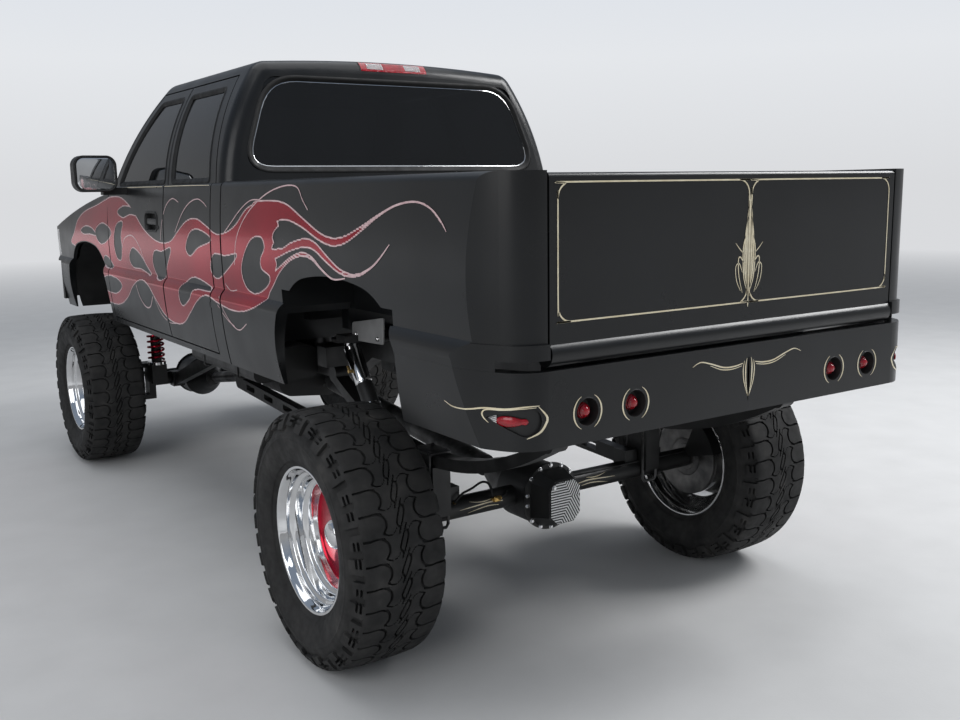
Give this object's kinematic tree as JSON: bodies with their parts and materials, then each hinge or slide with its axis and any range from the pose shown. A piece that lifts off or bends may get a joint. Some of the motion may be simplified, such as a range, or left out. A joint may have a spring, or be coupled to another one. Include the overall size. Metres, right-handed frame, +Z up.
{
  "type": "lifted pickup truck",
  "caption": "Lifted four-wheel-drive pickup with an extended cab, short open bed, shaved tailgate, smooth roll pan, tall mud tyres and deep dish wheels.",
  "frame": {"origin": "on the ground, at the centre of the box around the whole truck", "axes": "+Y to the truck's front, +X to its right side, +Z up"},
  "size_m": [2.48, 5.679, 2.375],
  "materials": {
    "body_paint": "satin",
    "dark_glass": "gloss",
    "chassis_black": "gloss",
    "trim_black": "gloss",
    "cabin_trim": "matte",
    "seat_fabric": "woven",
    "lamp_red": "gloss",
    "lamp_clear": "clear",
    "polished": "polished",
    "tyre_rubber": "matte",
    "grey_steel": "worn",
    "cast": "rough"
  },
  "bodies": {
    "root": {"frame_rails": "chassis_black", "cab_shell": "body_paint", "cab_glass": "dark_glass", "front_fenders": "body_paint", "grille": "trim_black", "headlamps": "lamp_clear", "front_bumper": "trim_black", "bed": "body_paint", "roll_pan": "body_paint", "tail_lamps": "lamp_red", "seats": "seat_fabric", "dashboard": "cabin_trim", "engine_block": "cast", "transmission": "cast", "driveshafts": "grey_steel", "fuel_tank": "chassis_black", "exhaust": "grey_steel", "rear_axle": "chassis_black", "leaf_springs": "chassis_black", "traction_bars": "chassis_black", "rear_shocks": "polished", "front_axle": "chassis_black", "radius_arms": "chassis_black", "coilovers": "polished"},
    "hood": {"hood": "body_paint"},
    "tailgate": {"tailgate": "body_paint"},
    "tie_rod": {"tie_rod": "polished"},
    "door_front_left": {"door_front_left": "body_paint", "door_glass_front_left": "dark_glass", "mirror_left": "trim_black"},
    "door_rear_left": {"door_rear_left": "body_paint", "door_glass_rear_left": "dark_glass"},
    "knuckle_left": {"knuckle_left": "chassis_black"},
    "wheel_front_left": {"tyre_front_left": "tyre_rubber", "rim_front_left": "polished"},
    "wheel_rear_left": {"tyre_rear_left": "tyre_rubber", "rim_rear_left": "polished"},
    "door_front_right": {"door_front_right": "body_paint", "door_glass_front_right": "dark_glass", "mirror_right": "trim_black"},
    "door_rear_right": {"door_rear_right": "body_paint", "door_glass_rear_right": "dark_glass"},
    "knuckle_right": {"knuckle_right": "chassis_black"},
    "wheel_front_right": {"tyre_front_right": "tyre_rubber", "rim_front_right": "polished"},
    "wheel_rear_right": {"tyre_rear_right": "tyre_rubber", "rim_rear_right": "polished"}
  },
  "joints": [
    {"name": "door_front_left_hinge", "type": "hinge", "parent": "root", "child": "door_front_left", "pos_m": [-0.978, 1.285, 1.24], "axis": [0, 0, -1], "range_deg": [0, 65]},
    {"name": "door_rear_left_hinge", "type": "hinge", "parent": "root", "child": "door_rear_left", "pos_m": [-0.978, -0.515, 1.24], "axis": [0, 0, 1], "range_deg": [0, 85]},
    {"name": "door_front_right_hinge", "type": "hinge", "parent": "root", "child": "door_front_right", "pos_m": [0.978, 1.285, 1.24], "axis": [0, 0, 1], "range_deg": [0, 65]},
    {"name": "door_rear_right_hinge", "type": "hinge", "parent": "root", "child": "door_rear_right", "pos_m": [0.978, -0.515, 1.24], "axis": [0, 0, -1], "range_deg": [0, 85]},
    {"name": "hood_hinge", "type": "hinge", "parent": "root", "child": "hood", "pos_m": [0, 1.38878, 1.75488], "axis": [1, 0, 0], "range_deg": [0, 50]},
    {"name": "tailgate_hinge", "type": "hinge", "parent": "root", "child": "tailgate", "pos_m": [0, -2.8015, 1.28], "axis": [1, 0, 0], "range_deg": [0, 90]},
    {"name": "steer_left", "type": "hinge", "parent": "root", "child": "knuckle_left", "pos_m": [-0.7, 1.8805, 0.485], "axis": [0, 0, 1], "range_deg": [-30, 30]},
    {"name": "steer_right", "type": "hinge", "parent": "root", "child": "knuckle_right", "pos_m": [0.7, 1.8805, 0.485], "axis": [0, 0, 1], "range_deg": [-30, 30]},
    {"name": "tie_rod_pivot", "type": "hinge", "parent": "knuckle_left", "child": "tie_rod", "pos_m": [-0.7, 2.0955, 0.485], "axis": [0, 0, 1], "range_deg": [-30, 30]},
    {"name": "roll_front_left", "type": "hinge", "parent": "knuckle_left", "child": "wheel_front_left", "pos_m": [-0.955, 1.8805, 0.485], "axis": [1, 0, 0], "continuous": true},
    {"name": "roll_rear_left", "type": "hinge", "parent": "root", "child": "wheel_rear_left", "pos_m": [-0.955, -1.7645, 0.485], "axis": [1, 0, 0], "continuous": true},
    {"name": "roll_front_right", "type": "hinge", "parent": "knuckle_right", "child": "wheel_front_right", "pos_m": [0.955, 1.8805, 0.485], "axis": [1, 0, 0], "continuous": true},
    {"name": "roll_rear_right", "type": "hinge", "parent": "root", "child": "wheel_rear_right", "pos_m": [0.955, -1.7645, 0.485], "axis": [1, 0, 0], "continuous": true}
  ],
  "couplings": [
    {"joint": "steer_right", "follows": "steer_left", "ratio": 1},
    {"joint": "tie_rod_pivot", "follows": "steer_left", "ratio": -1}
  ]
}
